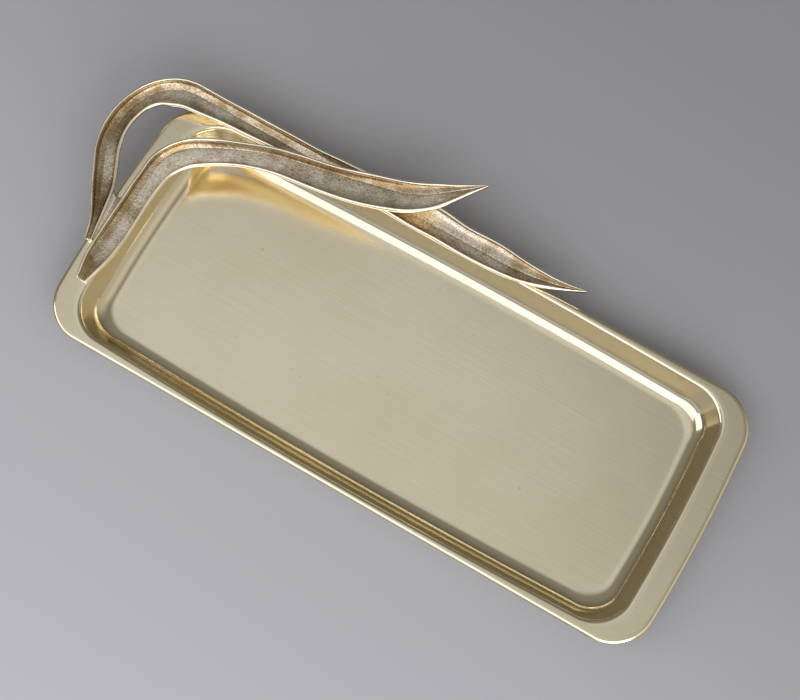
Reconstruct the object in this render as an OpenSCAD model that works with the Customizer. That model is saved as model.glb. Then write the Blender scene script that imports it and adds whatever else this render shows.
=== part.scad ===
// Long serving tray of cast brass with a corner handle of two channelled leaves.
// The origin is on the table under the middle of the tray: X along the tray, Y across it, Z up.
// The leaves are at the corner towards -X and +Y.

/* [Tray] */
// Length over the two end flanges
tray_length = 450; // [380:5:540]
// Width over the two long rims
tray_width = 186; // [156:2:224]
// Height of the rim's top above the table
rim_height = 24; // [20:0.5:30]
// Thickness of the casting
wall = 3; // [2.4:0.1:3.6]
// Width of the flat flange at each end
end_flange = 17; // [15:0.5:21]
// Width of the flange at the middle of each long side
side_flange = 2.5; // [2.2:0.1:5]
// Corner radius of the outside
outer_corner = 28; // [23:1:34]
// Corner radius of the well's mouth
mouth_corner = 25; // [20:1:30]
// Corner radius of the floor
floor_corner = 18; // [14:1:22]

/* [Well] */
// Slope of the wall from the horizontal, in degrees
wall_slope = 65; // [58:1:72]
// Radius of the hollow fillet between wall and floor
floor_fillet = 13; // [10:0.5:15]
// Radius of the lip at the well's mouth
mouth_round = 3; // [2:0.1:3.6]

/* [Leaves] */
// Thickness of a leaf under its valley
leaf_wall = 3.5; // [2.8:0.1:4.2]
// Height of a leaf's edges above its valley
leaf_rise = 4.6; // [3.6:0.1:5.6]
// Gap between the back leaf's edges and the front leaf above them
leaf_gap = 0.3; // [0.2:0.1:0.6]
// Extra thickness of the two feet, for the screws
foot_extra = 2; // [1.6:0.1:3]

/* [Fixings] */
// Diameter of the screws that hold the feet
screw_d = 3; // [2.5:0.5:3.5]
// Clearance on the radius of the screw holes in the flange
screw_clearance = 0.2; // [0.1:0.05:0.3]
// Clearance on the radius of the threads in the feet
thread_clearance = 0.05; // [0.02:0.01:0.1]
// Length of thread in each foot
thread_depth = 4; // [3:0.25:4.5]
// Thickness of the washers
washer_t = 0.5; // [0.4:0.1:0.8]

/* [Felt] */
// Thickness of the felt base
felt_t = 2; // [1:0.1:3]
// Distance of the felt in from the floor's edge
felt_inset = 6; // [3:1:14]

/* [Hidden] */
$fn = 48;

brass = "#c8b888";
cast_brass = "#a58c5c";
braze_metal = "#c9a860";
steel = "#9a9ca0";
felt = "#4a4038";

// How far the ends and the sides bulge between their corners
outer_bow = [4, 0];
mouth_bow = [3, 4];
floor_bow = [4, 3.5];

// Heights
floor_top = felt_t + wall;
well_depth = rim_height - floor_top;
flange_bottom = rim_height - wall;

// Run of the well's wall: lip, straight slope and fillet
lip_run = mouth_round * sin(wall_slope);
lip_drop = mouth_round * (1 - cos(wall_slope));
fillet_run = floor_fillet * sin(wall_slope);
fillet_rise = floor_fillet * (1 - cos(wall_slope));
slope_drop = well_depth - lip_drop - fillet_rise;
wall_run = lip_run + slope_drop / tan(wall_slope) + fillet_run;

// The three outlines: half length, half width, corner radius, end bow, side bow
outer_line = [tray_length / 2, tray_width / 2, outer_corner, outer_bow[0], outer_bow[1]];
mouth_line = [tray_length / 2 - end_flange, tray_width / 2 - side_flange, mouth_corner,
              mouth_bow[0], mouth_bow[1]];
floor_line = [mouth_line[0] - wall_run, mouth_line[1] - wall_run, floor_corner,
              floor_bow[0], floor_bow[1]];

corner_steps = 8;
long_steps = 8;
short_steps = 4;
arc_steps = 5;

// Where the leaves stand: the outer corner of the tray that they grow round, and the rim's top
corner = [-tray_length / 2, tray_width / 2];
leaf_stack = leaf_wall + leaf_rise + leaf_gap;
foot_wall = leaf_wall + foot_extra;

// Radius of the braze between the two stems, which fills the gap between their flanks, and the height of
// its middle above the rim
stem_braze_r = 0.3 * (leaf_wall + leaf_rise);
stem_braze_z = stem_braze_r - 0.2;
// The web that fills the fork of the two stems: outline from the corner, bottom and top above the rim
stem_web = [[7.6, -120], [9.6, -108], [9.8, -96], [9.6, -84.5], [7, -86.6], [4.5, -87.2], [2, -86.2],
            [-0.4, -84], [1.4, -92], [4.4, -101], [6, -112]];
stem_web_z = [0.28, 0.76] * (leaf_wall + leaf_rise);

// The valley of each leaf, from its foot to its tip. It starts at a place from the tray's corner (X
// inwards, Y from the far rim's edge) with a heading in degrees, and goes on in runs of [length, turn]. A
// run with no turn is straight and one with a turn is an arc, so the finger loop is a wide arc, about 55 in
// radius, and then a tighter one of about 34.
front_foot = [15.5, -149];
front_heading = 90;
front_runs = [[87, 0], [36, -60], [62, -18], [78, 0], [28, 24], [34, 0]];
back_foot = [5, -123];
back_heading = 98;
back_runs = [[25, 19], [34, 0], [56, -58], [35, -59], [238, 0], [60, 20]];

// The shape along each leaf, as [share of the length, value] where it changes, smooth between: how high the
// underside is above the rim in stacks of one leaf, and for each side the half width and the edge's height
// in leaf rises
front_lift = [[0, 0], [0.08, 0], [0.25, 0.25], [0.44, 0.6], [0.56, 1.06], [0.75, 1.1], [0.87, 1.42], [1, 2.1]];
front_outer = [[0, 4], [0.06, 7.5], [0.2, 7], [0.66, 3.8], [0.86, 8.5], [1, 0.7]];
front_outer_rise = [[0, 0.5], [0.13, 1.1], [0.4, 1.3], [0.75, 1.2], [1, 0.1]];
front_inner = [[0, 5.5], [0.08, 10.5], [0.22, 11], [0.34, 14.5], [0.48, 13], [0.74, 18], [0.88, 12], [1, 0.7]];
front_inner_rise = [[0, 0.3], [0.5, 0.45], [0.8, 0.9], [1, 0.1]];
back_lift = [[0, 0], [0.06, 0], [0.2, 0.18], [0.37, 0.48], [0.5, 0.22], [0.62, 0], [1, 0]];
back_outer = [[0, 4], [0.1, 7.5], [0.5, 8], [0.74, 12.5], [0.8, 10.5], [0.87, 10.5], [1, 0.7]];
back_outer_rise = [[0, 0.6], [0.05, 1], [0.22, 1.3], [0.4, 1], [0.85, 1], [1, 0.1]];
back_inner = [[0, 2.6], [0.025, 3], [0.09, 10], [0.24, 10], [0.3, 14], [0.48, 9], [0.85, 10], [1, 0.7]];
back_inner_rise = [[0, 0.4], [0.07, 0.9], [0.27, 1], [0.45, 0.75], [0.7, 0.9], [0.9, 0.5], [1, 0.1]];
foot_run = [10, 41]; // where the foot's extra thickness starts to fade and where it ends, along the leaf
leaf_loops = 68;

// Where the front leaf rests on the back leaf, from the tray's corner, and its height there in stacks
crossing = [146, 1, 1.09];

// Where the braze on the long rim starts and ends, from the tray's corner
rim_brazes = [[134, 160], [188, 214]];

// Screws: place of each from the tray's corner, one in the front leaf's foot and one in the back leaf's
screw_places = [[11, -137], [5.2, -116]];
head_r = screw_d * 0.92;
head_h = screw_d * 0.65;
washer_r = screw_d * 1.17;

// One value between two, and a smooth curve through four
function mix(a, b, t) = a * (1 - t) + b * t;

// Where a run from p with heading h ends
function run_end(p, h, length, turn) = turn == 0
    ? p + length * [cos(h), sin(h)]
    : let (r = length * 180 / (PI * turn))
        p + r * [sin(h + turn) - sin(h), cos(h) - cos(h + turn)];
function runs_length(runs, k = 0) = k == len(runs) ? 0 : runs[k][0] + runs_length(runs, k + 1);

// The place at distance d along the runs
function walk(p, h, runs, d, k = 0) =
    let (run = runs[k])
    k == len(runs) - 1 || d <= run[0]
        ? run_end(p, h, d, run[1] * d / run[0])
        : walk(run_end(p, h, run[0], run[1]), h + run[1], runs, d - run[0], k + 1);

// The value at share s of a list of [share, value], on a cubic whose slope at each entry is the slope
// between its neighbours
function slope_at(list, i) =
    let (a = list[max(i - 1, 0)], b = list[min(i + 1, len(list) - 1)])
    (b[1] - a[1]) / (b[0] - a[0]);
function along(list, s, i = 0) = i < len(list) - 2 && s > list[i + 1][0]
    ? along(list, s, i + 1)
    : let (a = list[i], b = list[i + 1], h = b[0] - a[0], t = (s - a[0]) / h)
        a[1] * (2 * t ^ 3 - 3 * t ^ 2 + 1) + b[1] * (3 * t ^ 2 - 2 * t ^ 3)
        + h * (slope_at(list, i) * (t ^ 3 - 2 * t ^ 2 + t) + slope_at(list, i + 1) * (t ^ 3 - t ^ 2));

// A leaf's stations: [x, y, lift, outer width, outer rise, inner width, inner rise, share of the foot]
function stations(foot, heading, runs, lift, outer, outer_rise, inner, inner_rise) =
    let (length = runs_length(runs))
    [for (i = [0 : leaf_loops])
        let (s = i / leaf_loops, place = walk(foot, heading, runs, s * length))
        [place[0], place[1], max(0, along(lift, s)), along(outer, s), along(outer_rise, s), along(inner, s),
         along(inner_rise, s), min(1, max(0, (foot_run[1] - s * length) / (foot_run[1] - foot_run[0])))]];
front_stations = stations(front_foot, front_heading, front_runs, front_lift, front_outer, front_outer_rise,
                          front_inner, front_inner_rise);
back_stations = stations(back_foot, back_heading, back_runs, back_lift, back_outer, back_outer_rise,
                         back_inner, back_inner_rise);

function corner_arc(o, k) = [
    for (s = [0 : corner_steps])
        let (q = k * 90 + s * 90 / corner_steps,
             sx = (k == 0 || k == 3) ? 1 : -1,
             sy = k < 2 ? 1 : -1)
        [sx * (o[0] - o[2]) + o[2] * cos(q), sy * (o[1] - o[2]) + o[2] * sin(q)]
];
function side_run(a, b, steps) = [for (s = [1 : steps - 1]) mix(a, b, s / steps)];
function bulge(p, o) = [
    p[0] * (1 - o[3] / o[0] * pow(p[1] / o[1], 2)),
    p[1] * (1 - o[4] / o[1] * pow(p[0] / o[0], 2))
];
function outline(o, z) = [
    for (k = [0 : 3])
        let (arc = corner_arc(o, k),
             next = corner_arc(o, (k + 1) % 4),
             run = side_run(arc[corner_steps], next[0], k % 2 == 0 ? long_steps : short_steps))
        for (p = concat(arc, run)) let (q = bulge(p, o)) [q[0], q[1], z]
];
// The same outline moved outwards by d
function grown(o, d) = [o[0] + d, o[1] + d, o[2] + d, o[3], o[4]];

// Faces of a solid made of rings of n points each, closed by a face at each end
function ring_faces(rings, n) = concat(
    [[for (i = [n - 1 : -1 : 0]) i]],
    [for (j = [0 : rings - 2], i = [0 : n - 1], half = [0, 1])
        let (a = j * n + i, b = j * n + (i + 1) % n, c = b + n, d = a + n)
        half == 0 ? [a, b, c] : [a, c, d]],
    [[for (i = [0 : n - 1]) (rings - 1) * n + i]]
);
module ring_solid(rings) {
    n = len(rings[0]);
    polyhedron(points = [for (r = rings) for (p = r) p], faces = ring_faces(len(rings), n), convexity = 10);
}

// The wall's section as rows [run from the mouth, height, slope], from the floor up to the lip's top
function wall_section() = concat(
    [for (s = [0 : arc_steps])
        let (q = s * wall_slope / arc_steps)
        [wall_run - floor_fillet * sin(q), floor_top + floor_fillet * (1 - cos(q)), q]],
    [for (s = [arc_steps : -1 : 0])
        let (q = s * wall_slope / arc_steps)
        [mouth_round * sin(q), rim_height - mouth_round * (1 - cos(q)), q]]
);
// The same section moved out through the casting's thickness, from just under the flange to the floor
function outside_section() = concat(
    let (run = lip_run + (wall - lip_drop) / tan(wall_slope))
    [[run, flange_bottom + wall * cos(wall_slope), wall_slope]],
    [for (s = [arc_steps : -1 : 0])
        let (q = s * wall_slope / arc_steps)
        [wall_run - floor_fillet * sin(q), floor_top + floor_fillet * (1 - cos(q)), q]]
);
function between(run) = mix(mouth_line, floor_line, run / wall_run);

module pan_solid() {
    edge_r = wall / 2;
    inside = [for (w = wall_section()) outline(between(w[0]), w[1])];
    edge = [for (s = [0 : arc_steps + 1])
        let (q = 90 - s * 180 / (arc_steps + 1))
        outline(grown(outer_line, edge_r * cos(q) - edge_r), rim_height - edge_r + edge_r * sin(q))];
    outside = [for (w = outside_section())
        outline(grown(between(w[0]), wall * sin(w[2])), w[1] - wall * cos(w[2]))];
    ring_solid(concat(inside, edge, outside));
}

// Section of a leaf across its path, as [distance to the outer side, height above the underside]
function leaf_section(s) =
    let (t = leaf_wall + foot_extra * max(0, s[7]),
         outer = s[3],
         inner = s[5],
         lo = min(1, outer / 5),
         li = min(1, inner / 5),
         zo = t + s[4] * leaf_rise,
         zi = t + s[6] * leaf_rise,
         foot = max(0, s[7]),
         ko = min(2.5 + 2.5 * foot, outer * 0.7),
         ki = min(2.5 + 1.5 * foot, inner * 0.6))
    [[-ki, 0], [0.4 * li - inner, zi - 3 * li], [-inner, zi - 1 * li], [1 * li - inner, zi],
     [2.2 * li - inner, zi - 0.5 * li], [-inner * 0.45, mix(t, zi, 0.32)], [0, t],
     [outer * 0.45, mix(t, zo, 0.32)], [outer - 2.2 * lo, zo - 0.5 * lo], [outer - 1 * lo, zo],
     [outer, zo - 1 * lo], [outer - 0.4 * lo, zo - 3 * lo], [ko, 0]];

module leaf_solid(path) {
    last = len(path) - 1;
    rings = [for (i = [0 : last])
        let (s = path[i],
             ahead = path[min(i + 1, last)],
             behind = path[max(i - 1, 0)],
             run = [ahead[0] - behind[0], ahead[1] - behind[1]],
             side = [-run[1], run[0]] / norm(run))
        [for (p = leaf_section(s))
            [corner[0] + s[0] + side[0] * p[0], corner[1] + s[1] + side[1] * p[0],
             rim_height + leaf_stack * max(0, s[2]) + p[1]]]];
    ring_solid(rings);
}

module at_screws() {
    for (p = screw_places) translate([corner[0] + p[0], corner[1] + p[1], 0]) children();
}

// One casting: floor, wall, end flanges and bead rim, with two screw holes in one flange
module tray_pan() {
    color(brass) difference() {
        pan_solid();
        at_screws() translate([0, 0, flange_bottom - 1])
            cylinder(r = screw_d / 2 + screw_clearance, h = wall + 2);
    }
}

module thread_holes() {
    at_screws() translate([0, 0, rim_height - 1])
        cylinder(r = screw_d / 2 + thread_clearance, h = thread_depth + 1.2);
}

// The leaf that loops round the corner and lies along the far rim
module back_leaf() {
    color(cast_brass) difference() {
        leaf_solid(back_stations);
        thread_holes();
    }
}

// The leaf that stands on the end flange and crosses over the back leaf
module front_leaf() {
    color(cast_brass) difference() {
        leaf_solid(front_stations);
        thread_holes();
    }
}

// Screws from below, each with a hexagon socket in its head
module stem_screws() {
    head_top = flange_bottom - washer_t;
    color(steel) at_screws() difference() {
        union() {
            translate([0, 0, head_top - head_h]) cylinder(r = head_r, h = head_h);
            translate([0, 0, head_top]) cylinder(r = screw_d / 2, h = washer_t + wall + thread_depth);
        }
        translate([0, 0, head_top - head_h - 1]) cylinder(r = screw_d / 3, h = head_h * 0.6 + 1, $fn = 6);
    }
}

module stem_washers() {
    color(steel) at_screws() translate([0, 0, flange_bottom - washer_t]) difference() {
        cylinder(r = washer_r, h = washer_t);
        translate([0, 0, -1]) cylinder(r = screw_d / 2 + screw_clearance, h = washer_t + 2);
    }
}

// A round run of braze metal between two points
module braze_run(a, b, r) {
    d = b - a;
    translate(a) rotate([0, acos(d[2] / norm(d)), atan2(d[1], d[0])]) cylinder(r = r, h = norm(d));
}
module from_corner() {
    translate([corner[0], corner[1], rim_height]) children();
}

module stem_braze() {
    color(braze_metal) difference() {
        from_corner() {
            braze_run([7.6, -122, stem_braze_z], [7.6, -108, stem_braze_z], stem_braze_r);
            translate([0, 0, stem_web_z[0]])
                linear_extrude(height = stem_web_z[1] - stem_web_z[0]) polygon(stem_web);
        }
        leaf_solid(front_stations);
        leaf_solid(back_stations);
        pan_solid();
        thread_holes();
    }
}

module crossing_braze() {
    color(braze_metal) difference() {
        from_corner() translate([crossing[0], crossing[1], leaf_wall])
            cylinder(r = 5, h = crossing[2] * leaf_stack + 1 - leaf_wall);
        leaf_solid(front_stations);
        leaf_solid(back_stations);
    }
}

module rim_braze() {
    color(braze_metal) difference() {
        from_corner() for (x = rim_brazes)
            braze_run([x[0], -0.6, -0.3], [x[1], -0.6, -0.3], 1.7);
        leaf_solid(back_stations);
        pan_solid();
    }
}

// A sheet of felt glued under the floor, which the tray stands on
module felt_base() {
    edge = outline(grown(floor_line, -felt_inset), 0);
    color(felt) linear_extrude(height = felt_t) polygon([for (p = edge) [p[0], p[1]]]);
}

tray_pan();
back_leaf();
front_leaf();
stem_screws();
stem_washers();
stem_braze();
crossing_braze();
rim_braze();
felt_base();
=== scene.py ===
# %% [markdown]
# # A cast brass tray with a leaf handle
# The tray is a sand casting: a floor, a steep wall, flanges at the two ends and a thin bead along the
# sides. Two channelled leaves, cast separately, grow round one corner, and one of them loops out to take
# a finger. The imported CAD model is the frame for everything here: it fixes the sizes and places, and this
# script adds finer surfaces, finishes, light and a camera. All lengths are in metres.

# %% Load the frame
import math

import bpy
import numpy as np
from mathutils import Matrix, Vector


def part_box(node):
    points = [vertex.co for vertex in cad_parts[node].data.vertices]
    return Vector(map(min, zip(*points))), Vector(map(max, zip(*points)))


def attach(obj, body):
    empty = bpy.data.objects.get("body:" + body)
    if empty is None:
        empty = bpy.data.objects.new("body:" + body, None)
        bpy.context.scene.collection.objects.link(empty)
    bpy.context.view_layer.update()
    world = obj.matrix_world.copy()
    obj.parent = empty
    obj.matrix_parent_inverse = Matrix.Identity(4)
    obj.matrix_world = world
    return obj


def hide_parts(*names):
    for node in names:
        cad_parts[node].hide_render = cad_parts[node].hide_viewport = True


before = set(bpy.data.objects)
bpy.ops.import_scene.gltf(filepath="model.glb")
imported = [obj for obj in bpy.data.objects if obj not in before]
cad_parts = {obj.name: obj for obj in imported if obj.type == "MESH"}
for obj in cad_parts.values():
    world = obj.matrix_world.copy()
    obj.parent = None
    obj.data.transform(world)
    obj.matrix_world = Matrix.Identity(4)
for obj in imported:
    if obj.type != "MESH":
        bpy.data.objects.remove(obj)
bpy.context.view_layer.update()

MM = 0.001

# %% [markdown]
# The sizes. Length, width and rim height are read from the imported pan, and the sizes that shape it
# between those are the ones that the CAD model uses. The floor's height is the felt and one thickness
# of metal. Three rounded rectangles drive the pan: its outside, the mouth of the well and the floor.

# %% Sizes of the pan
pan_low, pan_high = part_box("tray_pan")
HALF_LENGTH = pan_high.x
HALF_WIDTH = pan_high.y
RIM = pan_high.z
WALL = 3 * MM
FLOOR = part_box("felt_base")[1].z + WALL
SLOPE = math.radians(65)
FILLET = 13 * MM
LIP = 3 * MM
fillet_rise = FILLET * (1 - math.cos(SLOPE))
lip_drop = LIP * (1 - math.cos(SLOPE))
slope_drop = RIM - FLOOR - fillet_rise - lip_drop
WALL_RUN = (LIP + FILLET) * math.sin(SLOPE) + slope_drop / math.tan(SLOPE)

# Half length, half width, corner radius, bulge of the ends, bulge of the sides.
OUTER_LINE = np.array([HALF_LENGTH, HALF_WIDTH, 28 * MM, 4 * MM, 0.0])
MOUTH_LINE = np.array([HALF_LENGTH - 17 * MM, HALF_WIDTH - 2.5 * MM, 25 * MM, 3 * MM, 4 * MM])
FLOOR_LINE = np.array([MOUTH_LINE[0] - WALL_RUN, MOUTH_LINE[1] - WALL_RUN, 18 * MM, 4 * MM, 3.5 * MM])
GROW = np.array([1.0, 1.0, 1.0, 0.0, 0.0])
print("well is", round((RIM - FLOOR) / MM, 2), "mm deep, its wall runs in", round(WALL_RUN / MM, 2), "mm")

# %% [markdown]
# Every new piece here is a stack of closed rings. A ring is a row of points round the piece, and the
# quad faces between one ring and the next make the skin. It could be modelled by hand with loop cuts,
# but worked out as one numpy array it can be as fine as the reflections on polished metal need.

# %% Meshes from rings
def ring_piece(name, grid, flats=None):
    """A closed mesh from an array of rings (rings, points, 3): quads join each ring to the next, and one
    face closes each end. Extra arrays of (rings, points) numbers are kept as named point attributes."""
    rings, count = grid.shape[:2]
    index = np.arange(rings * count).reshape(rings, count)
    near, far = index[:-1], index[1:]
    quads = np.stack([near, far, np.roll(far, -1, 1), np.roll(near, -1, 1)], -1).reshape(-1, 4)
    faces = quads.tolist() + [index[0].tolist(), index[-1][::-1].tolist()]
    mesh = bpy.data.meshes.new(name)
    mesh.from_pydata(grid.reshape(-1, 3).tolist(), [], faces)
    mesh.update()
    mesh.shade_smooth()
    mesh.set_sharp_from_angle(angle=math.radians(50))
    for key, numbers in (flats or {}).items():
        layer = mesh.attributes.new(key, "FLOAT", "POINT")
        layer.data.foreach_set("value", np.ascontiguousarray(numbers, np.float32).ravel())
    piece = bpy.data.objects.new(name, mesh)
    bpy.context.scene.collection.objects.link(piece)
    print(name, "has", len(mesh.vertices), "points and", len(quads) * 2, "triangles")
    return piece


def ripple(points, size, seed, waves=24):
    """A smooth random height at each point, about -1 to 1: the mean of sine waves that run in random
    directions through space, with wavelengths near the given size."""
    draw = np.random.default_rng(seed)
    way = draw.normal(size=(waves, 3))
    way /= np.linalg.norm(way, axis=1, keepdims=True)
    pitch = 2 * np.pi / (size * draw.uniform(0.7, 1.5, waves))
    phase = draw.uniform(0, 2 * np.pi, waves)
    return np.sin(points @ (way * pitch[:, None]).T + phase).sum(-1) / math.sqrt(waves)


# %% [markdown]
# ## The pan
# A rounded rectangle with a slight bulge is four quarter circles joined by straight runs, and then each
# point is drawn in by the square of its distance from the middle of its side. The pan's skin starts in
# the middle of the floor, climbs the fillet and the wall, turns over the lip, crosses the flange, rolls
# round the edge and comes back underneath at the thickness of the casting.

# %% Outlines of the pan
CORNER_STEPS, LONG_STEPS, SHORT_STEPS = 44, 96, 40
FLOOR_RINGS, FILLET_RINGS, LIP_RINGS, STRAIGHT_RINGS = 26, 26, 15, 12
OVER_RINGS, BELOW_RINGS = 12, 7
LIP_POLISH_RINGS = 8


def outline(lines, heights):
    """Rings of points, anticlockwise from above. Each row of lines holds half length, half width, corner
    radius and the two bulges. A corner is its centre plus radius times (cos, sin); a side is a straight
    blend of its two ends; a point at (x, y) is then pulled in by bulge times (its share of the way)
    squared."""
    lines = np.atleast_2d(lines)
    a, b, r, end_bulge, side_bulge = (lines[:, i, None] for i in range(5))
    rows = []
    for k, (sx, sy) in enumerate(((1, 1), (-1, 1), (-1, -1), (1, -1))):
        angle = np.pi / 2 * (k + np.arange(CORNER_STEPS + 1) / CORNER_STEPS)
        x = sx * (a - r) + r * np.cos(angle)
        y = sy * (b - r) + r * np.sin(angle)
        steps = LONG_STEPS if k % 2 == 0 else SHORT_STEPS
        share = np.arange(1, steps) / steps
        nx, ny = ((-sx, sy) if k % 2 == 0 else (sx, -sy))
        to_x = nx * (a - r) + r * math.cos(angle[-1])
        to_y = ny * (b - r) + r * math.sin(angle[-1])
        x = np.concatenate([x, x[:, -1:] + (to_x - x[:, -1:]) * share], 1)
        y = np.concatenate([y, y[:, -1:] + (to_y - y[:, -1:]) * share], 1)
        rows.append(np.stack([x, y], -1))
    flat = np.concatenate(rows, 1)
    x, y = flat[..., 0], flat[..., 1]
    out = np.stack([x * (1 - end_bulge / a * (y / b) ** 2), y * (1 - side_bulge / b * (x / a) ** 2)], -1)
    height = np.broadcast_to(np.asarray(heights, float)[:, None, None], out.shape[:2] + (1,))
    return np.concatenate([out, height], -1)


def between(run):
    """Outlines between the mouth and the floor, for an array of distances in from the mouth."""
    share = (np.asarray(run) / WALL_RUN)[:, None]
    return MOUTH_LINE * (1 - share) + FLOOR_LINE * share


# %% The pan's section
def wall_profile():
    """Run, height and slope of the well's side from the floor to the flange: a hollow arc, a straight
    slope and a rounded lip."""
    low = np.linspace(0, SLOPE, FILLET_RINGS)
    high = np.linspace(SLOPE, 0, LIP_RINGS)
    fillet = [WALL_RUN - FILLET * np.sin(low), FLOOR + FILLET * (1 - np.cos(low)), low]
    lip = [LIP * np.sin(high), RIM - LIP * (1 - np.cos(high)), high]
    share = np.linspace(0, 1, STRAIGHT_RINGS)[1:-1]
    straight = [fillet[i][-1] * (1 - share) + lip[i][0] * share for i in range(3)]
    return [np.concatenate([fillet[i], straight[i], lip[i]]) for i in range(3)]


def edge_profile():
    """How far in from the outline, and how high, the rolled edge is: a broad quarter ellipse over the top
    and a small quarter round under it, each from the cosine and sine of an even turn."""
    over = np.linspace(np.pi / 2, 0, OVER_RINGS)
    below = np.linspace(0, -np.pi / 2, BELOW_RINGS)[1:]
    far_in = np.concatenate([2.6 * (1 - np.cos(over)), 1.1 * (1 - np.cos(below))]) * MM
    high = np.concatenate([1.9 * (np.sin(over) - 1), 1.1 * (np.sin(below) + 1) - WALL / MM]) * MM
    return far_in, RIM + high


def pan_rings():
    """All the rings of the pan, and for each ring how satin it is (1) or how polished (0)."""
    shrink = np.linspace(0.04, 0.985, FLOOR_RINGS)[:, None]
    floor = outline(FLOOR_LINE * shrink, np.full(FLOOR_RINGS, FLOOR))
    run, height, slope = wall_profile()
    inside = outline(between(run), height)
    far_in, high = edge_profile()
    rim = outline(OUTER_LINE - GROW * far_in[:, None], high)
    share = np.linspace(0, 1, STRAIGHT_RINGS)[1:-1, None, None]
    flange = inside[-1] * (1 - share) + rim[0] * share
    keep = height < RIM - WALL + WALL * np.cos(SLOPE) + 1e-9
    out_run, out_height, out_slope = run[keep][::-1], height[keep][::-1], slope[keep][::-1]
    outside = outline(between(out_run) + GROW * (WALL * np.sin(out_slope))[:, None],
                      out_height - WALL * np.cos(out_slope))
    grid = np.concatenate([floor, inside, flange, rim, outside])
    on_wall = np.clip(1 - slope / SLOPE * 2.2, 0, 1)
    on_wall[-LIP_POLISH_RINGS:] = 0
    on_flange = np.concatenate([np.zeros(1), np.ones(len(flange) - 1)])
    on_rim, on_outside = np.full(len(rim), 0.35), np.full(len(outside), 0.8)
    satin = np.concatenate([np.ones(FLOOR_RINGS), on_wall, on_flange, on_rim, on_outside])
    return grid, satin


# The floor and wall are a little uneven, as a hand-finished casting is.
grid, satin = pan_rings()
uneven = ripple(grid, 0.13, 3) * 0.05 * MM + ripple(grid, 0.05, 4) * 0.012 * MM
in_well = np.arange(len(grid))[:, None] < FLOOR_RINGS + len(wall_profile()[0])
grid[..., 2] += uneven * in_well * (grid[..., 2] < RIM - 1 * MM)
pan = ring_piece("pan_cast", grid, {"satin": np.repeat(satin[:, None], grid.shape[1], 1)})

# %% [markdown]
# ## The leaves
# Each leaf is one section swept along its own valley. The valley is straight runs and arcs, and the
# finger loop is a wide arc and then a tighter one. How high the underside lies, how far out each edge is
# and how high it stands are given at a few places, with a smooth curve between. The section is drawn with
# a few corners and then rounded by cutting corners, so the edges become soft polished lips, and the
# valley a crease.

# %% Design of the leaves
LEAF_WALL = 3.5 * MM
LEAF_RISE = 4.6 * MM
BRAZE_GAP = 0.3 * MM
STACK = LEAF_WALL + LEAF_RISE + BRAZE_GAP
FOOT_EXTRA = 2 * MM
FOOT_RUN = (10, 41)
FRONT_ROWS, BACK_ROWS = 307, 351
STEM_ROWS = 90
CORNER = np.array([-HALF_LENGTH, HALF_WIDTH])
# The foot's place from the tray's corner and the heading there, then runs of (length, turn) in mm and
# degrees. The rest is (share of the length, value) where the shape changes: lift in stacks of one leaf,
# half widths in mm, and edge heights in leaf rises.
FRONT = dict(
    foot=(15.5, -149), heading=90, runs=[(87, 0), (36, -60), (62, -18), (78, 0), (28, 24), (34, 0)],
    lift=[(0, 0), (0.08, 0), (0.25, 0.25), (0.44, 0.6), (0.56, 1.06), (0.75, 1.1), (0.87, 1.42), (1, 2.1)],
    outer=[(0, 4), (0.06, 7.5), (0.2, 7), (0.66, 3.8), (0.86, 8.5), (1, 0.7)],
    outer_rise=[(0, 0.5), (0.13, 1.1), (0.4, 1.3), (0.75, 1.2), (1, 0.1)],
    inner=[(0, 5.5), (0.08, 10.5), (0.22, 11), (0.34, 14.5), (0.48, 13), (0.74, 18), (0.88, 12), (1, 0.7)],
    inner_rise=[(0, 0.3), (0.5, 0.45), (0.8, 0.9), (1, 0.1)],
)
BACK = dict(
    foot=(5, -123), heading=98, runs=[(25, 19), (34, 0), (56, -58), (35, -59), (238, 0), (60, 20)],
    lift=[(0, 0), (0.06, 0), (0.2, 0.18), (0.37, 0.48), (0.5, 0.22), (0.62, 0), (1, 0)],
    outer=[(0, 4), (0.1, 7.5), (0.5, 8), (0.74, 12.5), (0.8, 10.5), (0.87, 10.5), (1, 0.7)],
    outer_rise=[(0, 0.6), (0.05, 1), (0.22, 1.3), (0.4, 1), (0.85, 1), (1, 0.1)],
    inner=[(0, 2.6), (0.025, 3), (0.09, 10), (0.24, 10), (0.3, 14), (0.48, 9), (0.85, 10), (1, 0.7)],
    inner_rise=[(0, 0.4), (0.07, 0.9), (0.27, 1), (0.45, 0.75), (0.7, 0.9), (0.9, 0.5), (1, 0.1)],
)


def walk(foot, heading, runs, distance):
    """Places along the runs. The heading at each distance is the start's and every turn made so far, and
    the place is the running sum of short steps along the heading."""
    ends = np.cumsum([0] + [length for length, turn in runs])
    turned = np.cumsum([heading] + [turn for length, turn in runs])
    fine = np.linspace(0, ends[-1], 4001)
    way = np.radians(np.interp((fine[1:] + fine[:-1]) / 2, ends, turned))
    steps = np.stack([np.cos(way), np.sin(way)], -1) * fine[1]
    places = np.vstack([foot, foot + np.cumsum(steps, 0)])
    return np.stack([np.interp(distance, fine, places[:, i]) for i in range(2)], -1)


def along(knots, s):
    """The value at each share s, on cubics whose slope at each knot is the slope between its neighbours."""
    at, value = np.array(knots, float).T
    wide = np.concatenate([[0], np.arange(len(at)), [len(at) - 1]])
    slope = (value[wide[2:]] - value[wide[:-2]]) / (at[wide[2:]] - at[wide[:-2]])
    i = np.clip(np.searchsorted(at, s, "right") - 1, 0, len(at) - 2)
    h = at[i + 1] - at[i]
    t = (s - at[i]) / h
    rise = t * t * (3 - 2 * t)
    bend = slope[i] * (t ** 3 - 2 * t ** 2 + t) + slope[i + 1] * (t ** 3 - t ** 2)
    return value[i] * (1 - rise) + value[i + 1] * rise + h * bend


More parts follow.
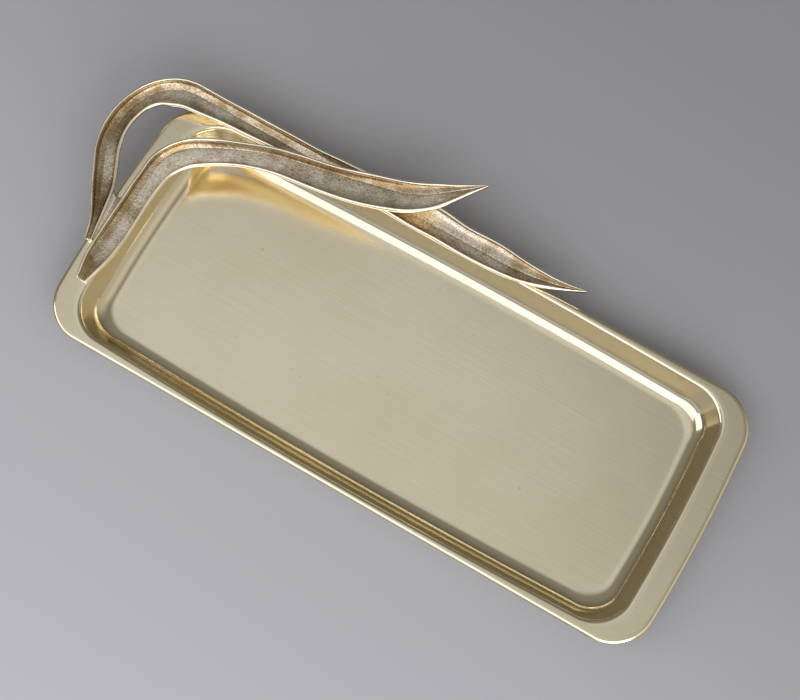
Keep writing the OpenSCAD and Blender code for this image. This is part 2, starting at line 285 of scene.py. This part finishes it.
def stations(leaf, count):
    """A leaf's rows: x and y of the valley, lift, outer width and rise, inner width and rise, and the share
    of the foot's extra thickness."""
    s = np.linspace(0, 1, count)
    length = sum(run for run, turn in leaf["runs"])
    place = walk(leaf["foot"], leaf["heading"], leaf["runs"], s * length)
    foot = np.clip((FOOT_RUN[1] - s * length) / (FOOT_RUN[1] - FOOT_RUN[0]), 0, 1)
    columns = [along(leaf[key], s) for key in ("lift", "outer", "outer_rise", "inner", "inner_rise")]
    return np.column_stack([place, np.clip(columns[0], 0, None)] + columns[1:] + [foot])


front_rows, back_rows = stations(FRONT, FRONT_ROWS), stations(BACK, BACK_ROWS)
for name, leaf in (("front", FRONT), ("back", BACK)):
    print(name, "leaf is", sum(run for run, turn in leaf["runs"]), "mm long")

# %% Rounded corners
def cut_corners(loops, times):
    """Closed loops (rings, points, numbers) with every corner cut: each side keeps the points a quarter
    and three quarters along it."""
    for _ in range(times):
        after = np.roll(loops, -1, 1)
        pair = np.stack([0.75 * loops + 0.25 * after, 0.25 * loops + 0.75 * after], 2)
        loops = pair.reshape(loops.shape[0], -1, loops.shape[2])
    return loops


# %% The leaf's section
def half_section(wide, rise, foot):
    """One side of a leaf's section at each row of the path, from the valley to the keel. Each corner is
    (distance out, height, lip, groove, painted shade, under). A flank climbs from the valley to a groove,
    and then a round lip stands up. Narrow flanks are straight and steep, and get more painted shade."""
    w, l = wide * MM, np.clip(wide / 5, 0, 1) * MM
    t = LEAF_WALL + FOOT_EXTRA * foot
    z = t + rise * LEAF_RISE
    keel = np.minimum((2.5 + 2 * foot) * MM, w * 0.65)
    broad = np.clip((wide - 7) / 5, 0, 1)
    # Painted shade: the narrower the flank, the darker brown it is painted, since narrow flanks face away
    # from the light.
    painted_flank_shade = 0.85 - 0.65 * broad
    middle = t + (0.46 - 0.24 * broad) * (z - 1.4 * l - t) - 0.5 * MM * broad
    sink = 1.2 * MM * broad
    corners = [
        (0 * w, t - 0.15 * MM, 0, 0, 0.3, 0), (0.08 * w, t + 0.01 * (z - t), 0, 0, painted_flank_shade, 0),
        (0.5 * w, middle, 0, 0, painted_flank_shade, 0), (w - 3.0 * l, z - 1.7 * l - sink, 0, 0.5, painted_flank_shade, 0),
        (w - 2.4 * l, z - 1.5 * l - 0.6 * sink, 0, 1, painted_flank_shade, 0), (w - 2.1 * l, z - 0.4 * l, 0.9, 0, 0, 0),
        (w - 1.5 * l, z + 0.05 * l, 1, 0, 0, 0), (w - 0.5 * l, z - 0.3 * l, 1, 0, 0, 0),
        (w, z - 1.2 * l, 1, 0, 0, 0.5), (w - 0.1 * l, z - 3.2 * l, 0.6, 0, 0.2, 1),
        (0.72 * w, (z - 3 * l) * 0.5, 0, 0, 0.2, 1), (keel, 0 * w, 0, 0, 0.2, 1),
    ]
    return np.stack([np.stack([0 * w + number for number in corner], -1) for corner in corners], 1)


def leaf_loops(s):
    """Both sides of the section joined in one closed loop, which runs from the inner side's keel over the
    valley to the outer side's keel. Distances are negative on the inner side."""
    foot = np.clip(s[:, 7], 0, 1)
    outer = half_section(s[:, 3], s[:, 4], foot)
    inner = half_section(s[:, 5], s[:, 6], foot)[:, ::-1] * np.array([-1, 1, 1, 1, 1, 1])
    return np.concatenate([inner, outer], 1)


# %% Sweep of a leaf
def sweep_leaf(name, s, seed):
    """A leaf: the section's distance is laid off square to the valley's path, and its height above it. The
    start is rounded off by four smaller loops, whose size and place follow a quarter circle, and the far end
    is closed by one flat face. The casting's waviness is a ripple along the edges and a finer one on the
    flanks."""
    path = CORNER + s[:, :2] * MM
    run = np.gradient(path, axis=0)
    run /= np.linalg.norm(run, axis=1, keepdims=True)
    side = np.stack([-run[:, 1], run[:, 0]], -1)
    loops = cut_corners(leaf_loops(s), 2)
    out, up, lip, groove, darkening, under = (loops[..., i] for i in range(6))
    base = RIM + STACK * np.clip(s[:, 2], 0, None)
    x = path[:, 0, None] + side[:, 0, None] * out
    y = path[:, 1, None] + side[:, 1, None] * out
    grid = np.stack([x, y, base[:, None] + up], -1)
    top = np.clip(up / LEAF_WALL - 0.9, 0, 1)
    slim = np.clip(np.minimum(s[:, 3], s[:, 5]) / 6, 0, 1)[:, None]
    wave = ripple(grid, 0.022, seed) * 0.22 + ripple(grid, 0.007, seed + 1) * 0.10 * (1 - lip)
    grid[..., 2] -= (0.3 + wave) * top * slim * MM
    sway = ripple(grid * np.array([1, 1, 0]), 0.03, seed + 2) * 0.3 * MM * top * slim * lip
    grid[..., :2] += side[:, None] * (sway - 0.4 * MM * lip * np.sign(out))[..., None]
    turn = np.linspace(0, np.pi / 2, 5)[1:, None, None]
    middle = grid.mean(1, keepdims=True)
    start = middle[:1] + (grid[:1] - middle[:1]) * (0.82 + 0.18 * np.cos(turn))
    start[..., :2] -= run[0] * 0.5 * MM * (np.sin(turn) - 1)
    grid = np.concatenate([start[::-1], grid])
    # The third number kept here is painted shade on the narrow flanks.
    kept = {"lip": lip, "groove": groove, "darkening": darkening, "under": under}
    kept = {key: np.concatenate([np.repeat(v[:1], len(start), 0), v]) for key, v in kept.items()}
    return ring_piece(name, grid, kept)


front = sweep_leaf("front_leaf_cast", front_rows, 11)
back = sweep_leaf("back_leaf_cast", back_rows, 15)

# %% [markdown]
# The two stems are brazed together at the foot, and the braze runs up between them as a web, as far as
# the fork. It is filed smooth with the leaves, so it shows only as a soft hollow from one lip to the
# other. It is made of upright sections across the gap, each from the back leaf's edge to the front's.

# %% The web between the stems
def edge_at(s, column, way, y):
    """Place across and height of a leaf's edge, where its line crosses each y. The edge is the valley's
    path and the width laid off square to it."""
    path = CORNER + s[:, :2] * MM
    run = np.gradient(path, axis=0)
    run /= np.linalg.norm(run, axis=1, keepdims=True)
    edge = path + np.stack([-run[:, 1], run[:, 0]], -1) * (way * s[:, column, None] * MM)
    foot = np.clip(s[:, 7], 0, 1)
    high = RIM + STACK * s[:, 2] + LEAF_WALL + FOOT_EXTRA * foot + LEAF_RISE * s[:, column + 1]
    edge, high = edge[:STEM_ROWS], high[:STEM_ROWS]
    return np.interp(y, edge[:, 1], edge[:, 0]), np.interp(y, edge[:, 1], high)


def stem_web():
    """The web: each section's top hangs below a straight line between the two edges by a share of
    4s(1-s), and its under side is a flat arch. The fork's end is drawn back by the same 4s(1-s), and
    thins to a round edge."""
    rows, across = 60, 24
    share = np.linspace(0, 1, rows)[:, None]
    s = np.linspace(0, 1, across)[None]
    dip = 4 * s * (1 - s)
    y = CORNER[1] - (84 + 37 * share + 4.2 * dip * (1 - share) ** 3) * MM
    left, left_high = edge_at(back_rows, 5, -1, y)
    right, right_high = edge_at(front_rows, 3, 1, y)
    x = left * (1 - s) + right * s + (2 * s - 1) * 1.3 * MM
    thick = np.sqrt(np.clip(1 - (1 - share * 16).clip(0, 1) ** 2, 0, 1)) * 2.2 * MM + 0.02 * MM
    crown = left_high * (1 - s) + right_high * s - (2.2 + 1.6 * dip) * MM
    top = np.stack([x, y, crown - 1.1 * MM + thick / 2], -1)
    below = np.stack([x, y, crown - 1.1 * MM - thick / 2], -1)[:, ::-1]
    grid = np.concatenate([top, below], 1)
    blank = np.zeros(grid.shape[:2])
    kept = {"lip": blank + 0.45, "groove": blank, "darkening": blank + 0.25, "under": blank}
    return ring_piece("stem_web", grid, kept)


web = stem_web()

# %% [markdown]
# ## Finishes
# Shader numbers are written as plain sums and products. A small class wraps one socket, and each
# operator on it adds the Math node that does the sum, so the recipe for a finish reads like a formula.

# %% Shader helpers
class Number:
    """A number that changes over a surface. An operator on it adds the Math node for that sum."""

    def __init__(self, recipe, socket):
        self.recipe = recipe
        self.socket = socket

    def math(self, operation, *others):
        values = dict(enumerate((self,) + others))
        return self.recipe.node("ShaderNodeMath", {"operation": operation}, values)

    def __add__(self, other):
        return self.math("ADD", other)

    def __mul__(self, other):
        return self.math("MULTIPLY", other)

    def __sub__(self, other):
        return self.math("SUBTRACT", other)

    def __rsub__(self, other):
        return self.math("MULTIPLY_ADD", -1.0, other)

    def __pow__(self, other):
        return self.math("POWER", other)

    def over(self, low, high):
        """0 below low, 1 above high, and a soft step between."""
        settings = {"interpolation_type": "SMOOTHSTEP"}
        return self.recipe.node("ShaderNodeMapRange", settings, {0: self, 1: low, 2: high})

    __radd__ = __add__
    __rmul__ = __mul__


class Recipe:
    """The nodes of a finish or of the room. Settings of a node are made first, then its sockets are set
    or linked, and one of its outputs is given back as a Number."""

    def __init__(self, tree):
        self.tree = tree

    def fill(self, node, values):
        for key, value in values.items():
            if isinstance(value, Number):
                self.tree.links.new(value.socket, node.inputs[key])
            else:
                node.inputs[key].default_value = value

    def node(self, kind, settings=None, values=None, out=0):
        node = self.tree.nodes.new(kind)
        for key, value in (settings or {}).items():
            setattr(node, key, value)
        self.fill(node, values or {})
        return Number(self, node.outputs[out])

    def tinted(self, strength, colour):
        """A colour times a number."""
        return self.node("ShaderNodeVectorMath", {"operation": "SCALE"}, {0: colour, "Scale": strength})

    def joined(self, one, other):
        """Two colours of light together."""
        return self.node("ShaderNodeVectorMath", {"operation": "ADD"}, {0: one, 1: other})


class Finish(Recipe):
    """A material's nodes, on the metal's own place in space."""

    def __init__(self, name, **sockets):
        self.material = bpy.data.materials.new(name)
        self.material.use_nodes = True
        super().__init__(self.material.node_tree)
        self.shader = next(n for n in self.tree.nodes if n.type == "BSDF_PRINCIPLED")
        self.place = self.node("ShaderNodeTexCoord", out="Object")
        self.fill(self.shader, {key.replace("_", " "): value for key, value in sockets.items()})

    def stretched(self, x, y, z):
        """Object coordinates times a scale on each axis."""
        values = {"Vector": self.place, "Scale": (x, y, z)}
        return self.node("ShaderNodeMapping", {"vector_type": "POINT"}, values)

    def noise(self, scale, detail=2.0, rough=0.5, at=None):
        """Soft noise, 0 to 1, at so many lumps a metre."""
        values = {"Vector": at or self.place, "Scale": scale, "Detail": detail, "Roughness": rough}
        return self.node("ShaderNodeTexNoise", None, values)

    def kept(self, name):
        """A number that the mesh keeps at its points."""
        return self.node("ShaderNodeAttribute", {"attribute_name": name}, None, "Fac")

    def mixed(self, share, one, other):
        """One colour where share is 0 and the other where it is 1."""
        return self.node("ShaderNodeMix", {"data_type": "RGBA"}, {0: share, 6: one, 7: other}, 2)

    def bump(self, height, distance, strength=1.0, under=None):
        values = {"Height": height, "Distance": distance, "Strength": strength}
        if under is not None:
            values["Normal"] = under
        return self.node("ShaderNodeBump", None, values)


# %% [markdown]
# The pan is cast brass, pale because it is a yellow brass with much zinc. The floor, flanges and outside
# are satin, rubbed along the tray with fine abrasive, and the wall and lip are buffed bright. Tarnish
# starts as soft clouds, a little darker and more olive.

# %% Finish of the pan
def pan_finish():
    f = Finish("pale_satin_brass", Metallic=1.0)
    satin = f.kept("satin")
    rubbed = f.noise(1.0, 3.0, 0.6, f.stretched(14, 700, 200))
    rubbed_fine = f.noise(1.0, 2.0, 0.5, f.stretched(40, 2600, 400))
    cloud = f.noise(9, 4.0, 0.55)
    pits = f.noise(160, 1.0, 0.4).over(0.76, 0.82)
    darkening = cloud.over(0.35, 0.7) * 0.7 + (rubbed - 0.5) * satin
    warm = f.mixed(darkening, (0.805, 0.712, 0.50, 1), (0.745, 0.65, 0.44, 1))
    f.fill(f.shader, {
        "Base Color": f.mixed(pits * 0.2, warm, (0.30, 0.25, 0.17, 1)),
        "Roughness": (0.12 + satin * 0.09) + (cloud - 0.5) * satin * 0.06
                     + (rubbed - 0.5) * satin * 0.06,
        "Normal": f.bump((rubbed * 0.6 + rubbed_fine * 0.4) * satin, 0.00006, 0.6),
    })
    return f.material


# %% [markdown]
# The leaves keep the grain of the sand that they were cast in. Dark brown is left in the hollows of the
# grain and the tops are rubbed bright, and the lips are ground and buffed all along. The narrow flanks
# are painted darker brown as painted shade, and the groove inside each lip is painted darker as well.

# %% Finish of the leaves
def leaf_finish():
    f = Finish("sand_cast_brass", Metallic=1.0)
    lip = f.kept("lip").over(0.3, 0.8)
    face = (1 - lip) * (1 - f.kept("under").over(0.3, 0.9))
    grain = f.noise(1000, 3.0, 0.7)
    dents = f.noise(330, 2.0, 0.5)
    patch = f.noise(60, 3.0, 0.6)
    hollow = 1 - grain.over(0.40, 0.50)
    # Painted shade: the narrow flanks are painted darker brown where they face away from the light. The
    # groove inside each lip is darker too, and random patches add stains.
    painted_shade_and_stain = f.kept("darkening") * (0.45 + patch * 0.9) + f.kept("groove") * 0.5 + patch.over(0.42, 0.66) * 0.35
    brown = face * (painted_shade_and_stain + hollow * 0.45)
    f.fill(f.shader, {
        "Base Color": f.mixed(brown, (0.97, 0.88, 0.70, 1), (0.34, 0.235, 0.115, 1)),
        "Roughness": 0.19 + face * (hollow * 0.12 - 0.03),
        "Normal": f.bump((grain * 0.6 + dents * 0.6) * face, 0.00045, 0.8),
    })
    return f.material


def plain_finish(name, colour, metallic, rough, grain, depth):
    """A plain material with a little grain in its colour and surface."""
    f = Finish(name, Metallic=metallic)
    n = f.noise(grain, 3.0, 0.6)
    dark = tuple(c * 0.75 for c in colour[:3]) + (1,)
    f.fill(f.shader, {
        "Base Color": f.mixed(n.over(0.35, 0.65), dark, colour),
        "Roughness": rough + (n - 0.5) * 0.2,
        "Normal": f.bump(n, depth, 0.6),
    })
    return f.material


# %% Give each piece its finish
def dress(piece, material):
    piece.data.materials.clear()
    piece.data.materials.append(material)


cast = leaf_finish()
dress(pan, pan_finish())
dress(front, cast)
dress(back, cast)
dress(web, cast)
braze = plain_finish("braze_metal", (0.72, 0.58, 0.33, 1), 1.0, 0.3, 700, 0.0002)
zinc = plain_finish("screw_zinc", (0.6, 0.61, 0.63, 1), 1.0, 0.35, 1500, 0.0001)
felt = plain_finish("brown_felt", (0.075, 0.06, 0.05, 1), 0.0, 0.9, 2500, 0.0006)
for node, material in (("crossing_braze", braze), ("rim_braze", braze),
                       ("stem_screws", zinc), ("stem_washers", zinc), ("felt_base", felt)):
    dress(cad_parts[node], material)
for piece, node, slot in ((pan, "tray_pan", "polished_brass"), (front, "front_leaf", "cast_brass"),
                          (back, "back_leaf", "cast_brass"), (web, "stem_braze", "braze")):
    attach(piece, "root")
    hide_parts(node)

# %% [markdown]
# ## Floor, light and camera
# Polished metal shows what is round it, so the light is a few large soft panels, and the walls and the
# ceiling are soft glows rather than lamps. The paper under the tray is painted lighter along one direction,
# a painted falloff of the light from the softboxes.

# %% Floor
REACH = 6.0
corners = [(x * REACH, y * REACH, 0) for x, y in ((-1, -1), (1, -1), (1, 1), (-1, 1))]
mesh = bpy.data.meshes.new("studio_floor")
mesh.from_pydata(corners, [], [(0, 1, 2, 3)])
ground = bpy.data.objects.new("studio_floor", mesh)
bpy.context.scene.collection.objects.link(ground)
paper = Finish("grey_paper", Roughness=0.8)
# Painted light: the paper's colour grows lighter toward the front and left softboxes, as their light falls
# off.
PAINTED_LIGHT_WAY = (-0.25, -0.97, 0)
nearer = paper.node("ShaderNodeVectorMath", {"operation": "DOT_PRODUCT"},
                    {0: paper.place, 1: PAINTED_LIGHT_WAY}, "Value")
shade = nearer.over(-0.38, 0.42)
paper.fill(paper.shader, {
    "Base Color": paper.mixed(shade, (0.305, 0.30, 0.305, 1), (0.485, 0.48, 0.485, 1)),
})
dress(ground, paper.material)

# %% Softboxes
def toward(bearing, height):
    """The direction at so many degrees round from +X and above the table, as a unit vector."""
    b, h = math.radians(bearing), math.radians(height)
    return Vector((math.cos(h) * math.cos(b), math.cos(h) * math.sin(b), math.sin(h)))


LAMP_RANGE = 1.7


def softbox(name, bearing, height, wide, high, watts, colour):
    """A rectangular light that faces the tray from the lamp range away."""
    light = bpy.data.lights.new(name, "AREA")
    light.shape = "RECTANGLE"
    light.size, light.size_y, light.energy, light.color = wide, high, watts, colour
    lamp = bpy.data.objects.new(name, light)
    bpy.context.scene.collection.objects.link(lamp)
    lamp.location = toward(bearing, height) * LAMP_RANGE
    lamp.rotation_mode = "QUATERNION"
    lamp.rotation_quaternion = (-toward(bearing, height)).to_track_quat("-Z", "Y")
    lamp.visible_camera = False
    return lamp


softbox("front_softbox", 312, 28, 1.3, 1.5, 17, (0.97, 1, 1.1))
softbox("left_softbox", 211, 37, 0.95, 0.95, 4.6, (0.98, 0.97, 1.05))
softbox("low_scrim", 250, 13, 1.6, 0.7, 1.3, (0.90, 1.0, 1.35))
softbox("top_softbox", 256, 52, 1.3, 1.3, 6.5, (0.96, 1, 1.14))

# %% The room's own light
room = bpy.data.worlds.new("studio")
bpy.context.scene.world = room
room.use_nodes = True
air = Recipe(room.node_tree)
facing = air.node("ShaderNodeTexCoord", out="Generated")


def glow(bearing, height, inner, outer, strength):
    """A soft round patch of light on the walls and ceiling: full within the inner angle, none outside the
    outer one, and smooth between, by the cosine of the angle from its middle."""
    way = tuple(toward(bearing, height))
    near = air.node("ShaderNodeVectorMath", {"operation": "DOT_PRODUCT"}, {0: facing, 1: way}, "Value")
    return near.over(math.cos(math.radians(outer)), math.cos(math.radians(inner))) * strength


AMBIENT = 0.13
glows = glow(14, 24, 14, 50, 0.40) + glow(190, 80, 30, 87, 0.13) + glow(312, 42, 20, 52, 0.45)
warm_walls = air.tinted(glows + AMBIENT, (1, 0.97, 0.90))
cool_ceiling = air.tinted(glow(165, 80, 6, 26, 0.48), (0.96, 1.0, 1.16))
air.fill(room.node_tree.nodes["Background"], {"Color": air.joined(warm_walls, cool_ceiling), "Strength": 1.0})

# %% [markdown]
# The camera looks almost straight down. Its tilt is measured from the vertical, its bearing is the way
# that its top edge faces, round from +X, and the range is to the point that it looks at.

# %% Camera
TILT = math.radians(15.16)
BEARING = math.radians(120.04)
RANGE = 0.97814
LOOK_AT = Vector((-0.00592, 0.01425, 0.0))
LENS = 65.25
lean = math.sin(TILT)
way = Vector((lean * math.cos(BEARING), lean * math.sin(BEARING), -math.cos(TILT)))
camera = bpy.data.cameras.new("camera")
camera.sensor_width = 36
camera.lens = LENS
eye = bpy.data.objects.new("camera", camera)
bpy.context.scene.collection.objects.link(eye)
eye.location = LOOK_AT - way * RANGE
eye.rotation_mode = "QUATERNION"
up = Vector((math.cos(BEARING), math.sin(BEARING), 0))
right = way.cross(up).normalized()
true_up = right.cross(way).normalized()
eye.rotation_quaternion = Matrix((right, true_up, -way)).transposed().to_quaternion()
bpy.context.scene.camera = eye
bpy.context.scene.view_settings.view_transform = "Standard"
